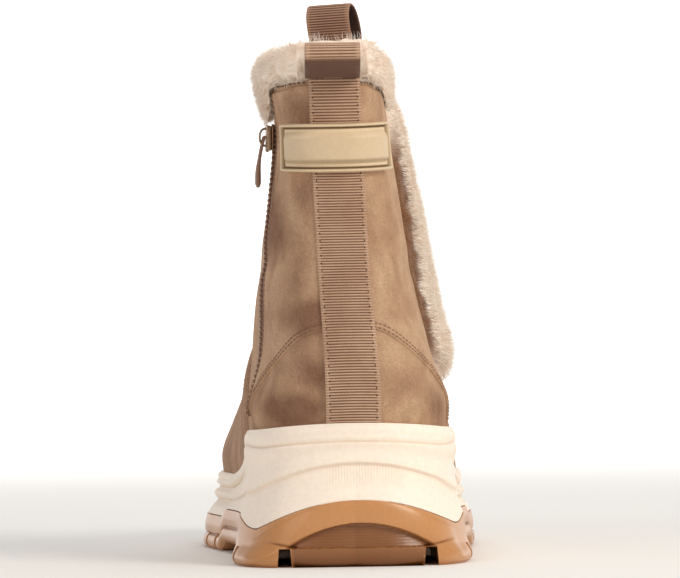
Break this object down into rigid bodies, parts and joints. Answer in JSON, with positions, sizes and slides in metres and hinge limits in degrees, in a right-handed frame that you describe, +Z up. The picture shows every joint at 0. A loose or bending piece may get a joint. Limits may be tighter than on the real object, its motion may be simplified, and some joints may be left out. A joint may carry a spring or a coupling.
{
  "type": "fur-lined ankle boot",
  "caption": "Right ankle boot on a chunky trainer sole: hollow suede upper, rolled pile collar and side band, inner-side zip with hanging pull, ribbon back strap and pull loops.",
  "frame": {"origin": "on the floor, below the middle of the whole boot's box", "axes": "+Y to the toe, +X to the outer side of the right foot, +Z up"},
  "size_m": [0.1106, 0.2931, 0.2173],
  "materials": {
    "gum_rubber": "smooth moulded gum rubber, caramel",
    "cream_foam": "moulded foam, matt cream",
    "suede": "brushed suede with a blotchy nap, warm taupe",
    "pile": "deep faux-fur pile, pale beige",
    "ribbon": "ribbed grosgrain ribbon, warm taupe",
    "soft_badge": "moulded soft plastic, bare, satin sand",
    "zip_tape": "woven tape with moulded teeth, brown",
    "slider_metal": "plated metal, slightly worn",
    "pull_rubber": "soft rubber, dark brown"
  },
  "bodies": {
    "boot": {"outsole": "gum_rubber", "midsole": "cream_foam", "insole": "pile", "upper": "suede", "vamp_overlay": "suede", "fur_collar": "pile", "fur_band": "pile", "back_strap": "ribbon", "back_loop": "ribbon", "front_loop": "ribbon", "badge": "soft_badge", "zip": "zip_tape", "zip_slider": "slider_metal"},
    "pull": {"zip_pull": "pull_rubber"}
  },
  "joints": [
    {"name": "pull_swing", "type": "hinge", "parent": "boot", "child": "pull", "pos_m": [-0.02865, -0.09111, 0.16069], "axis": [-0.0899, 0.996, 0], "range_deg": [0, 110]}
  ]
}
